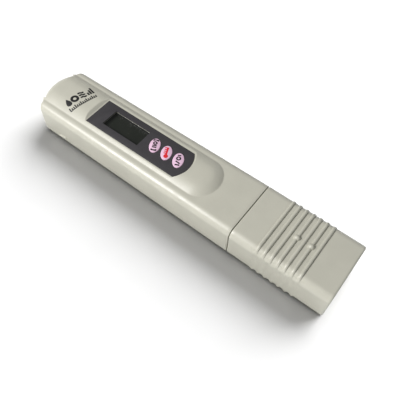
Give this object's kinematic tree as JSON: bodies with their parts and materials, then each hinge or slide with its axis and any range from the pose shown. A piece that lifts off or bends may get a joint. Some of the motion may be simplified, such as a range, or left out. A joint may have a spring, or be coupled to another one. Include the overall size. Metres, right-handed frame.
{
  "type": "digital water tester",
  "caption": "Pen-shaped pocket water tester: tapered box body with display, oval keys on a crowned tongue, ribbed pull-off cap over a probe head, and an end battery drawer.",
  "frame": {"origin": "centre of the bounding box's base, on the plane that the tester's back lies on", "axes": "+X from the display end to the cap end, +Z out of the front face that carries the display and keys, +Y to the far side in the stored view"},
  "size_m": [0.155, 0.0294, 0.0192],
  "materials": {
    "ivory_plastic": "fine moulded satin",
    "drawer_plastic": "fine moulded satin",
    "head_plastic": "fine moulded satin",
    "label_film": "satin printed film",
    "clear_lens": "clear acrylic",
    "display_glass": "dark display cell",
    "holder_plastic": "white moulded frame",
    "zebra_rubber": "layered conducting rubber",
    "board_laminate": "green solder mask",
    "key_rubber": "soft matt silicone",
    "black_plastic": "moulded black",
    "blue_plastic": "moulded blue",
    "screw_steel": "zinc plated",
    "tinned_steel": "tin plated",
    "cell_steel": "nickel plated can",
    "contact_brass": "plated spring brass",
    "probe_metal": "fine ground metal",
    "seal_rubber": "soft black rubber",
    "red_wire": "flexible insulation",
    "black_wire": "flexible insulation",
    "label_paper": "plain printed sticker"
  },
  "bodies": {
    "housing": {"front_housing": "ivory_plastic", "rear_cover": "ivory_plastic", "cover_screw_1": "screw_steel", "cover_screw_2": "screw_steel", "cover_screw_3": "screw_steel", "cover_screw_4": "screw_steel", "overlay_label": "label_film", "window_lens": "clear_lens", "lcd_panel": "display_glass", "lcd_holder": "holder_plastic", "zebra_strip_1": "zebra_rubber", "zebra_strip_2": "zebra_rubber", "circuit_board": "board_laminate", "board_screw_1": "screw_steel", "board_screw_2": "screw_steel", "switch_body_1": "tinned_steel", "switch_body_2": "tinned_steel", "switch_body_3": "tinned_steel", "controller_chip": "black_plastic", "crystal": "tinned_steel", "capacitor_1": "tinned_steel", "capacitor_2": "tinned_steel", "trimmer_base": "blue_plastic", "battery_leaf": "contact_brass", "battery_spring": "contact_brass", "sensor_head": "head_plastic", "seal_ring": "seal_rubber", "electrode_pin_1": "probe_metal", "electrode_pin_2": "probe_metal", "thermistor_probe": "probe_metal", "pin_lead_1": "red_wire", "pin_lead_2": "black_wire", "probe_lead_1": "red_wire", "probe_lead_2": "black_wire", "rear_label": "label_paper"},
    "cap": {"cap": "ivory_plastic"},
    "battery_drawer": {"battery_drawer": "drawer_plastic", "button_cell_1": "cell_steel", "button_cell_2": "cell_steel"},
    "hold_key": {"hold_key": "key_rubber", "switch_plunger_1": "black_plastic"},
    "temp_key": {"temp_key": "key_rubber", "switch_plunger_2": "black_plastic"},
    "power_key": {"power_key": "key_rubber", "switch_plunger_3": "black_plastic"},
    "trimmer_screw": {"trimmer_screw": "contact_brass"}
  },
  "joints": [
    {"name": "cap_pull", "type": "slide", "parent": "housing", "child": "cap", "axis": [1, 0, 0], "range_m": [0, 0.032]},
    {"name": "drawer_slide", "type": "slide", "parent": "housing", "child": "battery_drawer", "axis": [-1, 0, 0], "range_m": [0, 0.03]},
    {"name": "hold_press", "type": "slide", "parent": "housing", "child": "hold_key", "axis": [0, 0, -1], "range_m": [0, 0.0003], "stiffness_N_per_m": 3000},
    {"name": "temp_press", "type": "slide", "parent": "housing", "child": "temp_key", "axis": [0, 0, -1], "range_m": [0, 0.0003], "stiffness_N_per_m": 3000},
    {"name": "power_press", "type": "slide", "parent": "housing", "child": "power_key", "axis": [0, 0, -1], "range_m": [0, 0.0003], "stiffness_N_per_m": 3000},
    {"name": "trimmer_turn", "type": "hinge", "parent": "housing", "child": "trimmer_screw", "pos_m": [0.0005, 0, 0.005], "axis": [0, 0, 1], "range_deg": [-135, 135]}
  ]
}
